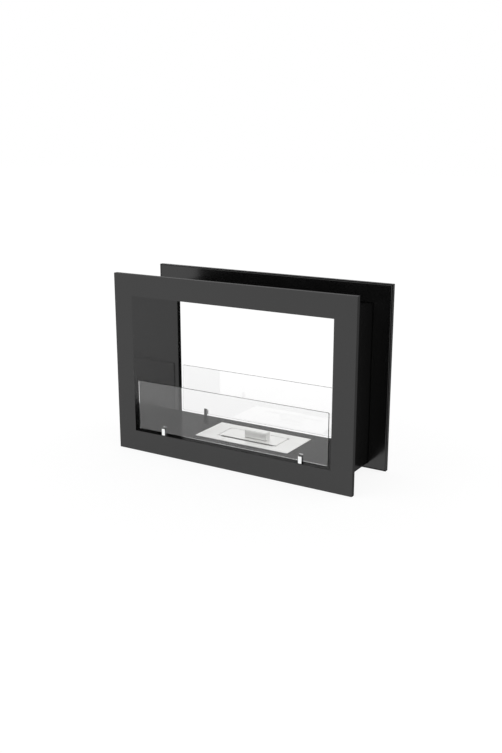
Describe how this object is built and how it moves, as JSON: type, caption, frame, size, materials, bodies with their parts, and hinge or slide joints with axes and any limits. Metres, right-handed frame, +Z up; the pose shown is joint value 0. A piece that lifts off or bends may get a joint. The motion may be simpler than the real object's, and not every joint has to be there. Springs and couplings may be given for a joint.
{
  "type": "double-sided ethanol fireplace",
  "caption": "Free-standing see-through ethanol fireplace: two black steel frames joined by a tunnel, low glass panes and a lift-out burner.",
  "frame": {"origin": "on the surface that the fireplace stands on, under the middle of the outer box", "axes": "+Z up, +X along the width to the right seen from the front, +Y from the front frame to the rear frame"},
  "size_m": [0.65, 0.2, 0.446],
  "materials": {
    "black_powder_coat": "smooth satin black powder coat on folded sheet steel",
    "brushed_stainless": "stainless steel brushed along its length",
    "polished_chrome": "mirror-polished chrome",
    "zinc_plate": "bright zinc-plated steel",
    "clear_glass": "clear toughened glass with ground edges",
    "black_rubber": "matt black rubber",
    "ceramic_wool": "white matted ceramic fibre"
  },
  "bodies": {
    "body": {"base_cover": "black_powder_coat", "base_cover_screw_1": "zinc_plate", "base_cover_screw_2": "zinc_plate", "base_cover_screw_3": "zinc_plate", "base_cover_screw_4": "zinc_plate", "front_clip_left": "polished_chrome", "front_clip_liner_left": "black_rubber", "front_clip_liner_right": "black_rubber", "front_clip_right": "polished_chrome", "front_clip_screw_1": "zinc_plate", "front_clip_screw_2": "zinc_plate", "front_frame": "black_powder_coat", "front_frame_collar": "black_powder_coat", "front_frame_screw_1": "zinc_plate", "front_frame_screw_2": "zinc_plate", "front_frame_screw_3": "zinc_plate", "hearth_floor": "black_powder_coat", "rear_clip_left": "polished_chrome", "rear_clip_liner_left": "black_rubber", "rear_clip_liner_right": "black_rubber", "rear_clip_right": "polished_chrome", "rear_clip_screw_1": "zinc_plate", "rear_clip_screw_2": "zinc_plate", "rear_frame": "black_powder_coat", "rear_frame_collar": "black_powder_coat", "rear_frame_screw_1": "zinc_plate", "rear_frame_screw_2": "zinc_plate", "rear_frame_screw_3": "zinc_plate", "tunnel_ceiling": "black_powder_coat", "tunnel_wall_left": "black_powder_coat", "tunnel_wall_right": "black_powder_coat"},
    "front_glass": {"front_glass": "clear_glass"},
    "rear_glass": {"rear_glass": "clear_glass"},
    "burner": {"burner_plate": "brushed_stainless", "burner_tank": "brushed_stainless", "lid_ledge_left": "brushed_stainless", "lid_ledge_right": "brushed_stainless", "wool_insert": "ceramic_wool", "wool_cover": "brushed_stainless"},
    "lid": {"burner_lid": "brushed_stainless", "lid_grip": "brushed_stainless", "lid_rivet_1": "zinc_plate", "lid_rivet_2": "zinc_plate", "lid_rivet_3": "zinc_plate", "lid_rivet_4": "zinc_plate"}
  },
  "joints": [
    {"name": "front_glass_lift", "type": "slide", "parent": "body", "child": "front_glass", "axis": [0, 0, 1], "range_m": [0, 0.05]},
    {"name": "rear_glass_lift", "type": "slide", "parent": "body", "child": "rear_glass", "axis": [0, 0, 1], "range_m": [0, 0.05]},
    {"name": "burner_lift", "type": "slide", "parent": "body", "child": "burner", "axis": [0, 0, 1], "range_m": [0, 0.06]},
    {"name": "lid_lift", "type": "slide", "parent": "burner", "child": "lid", "axis": [0, 0, 1], "range_m": [0, 0.04]}
  ]
}
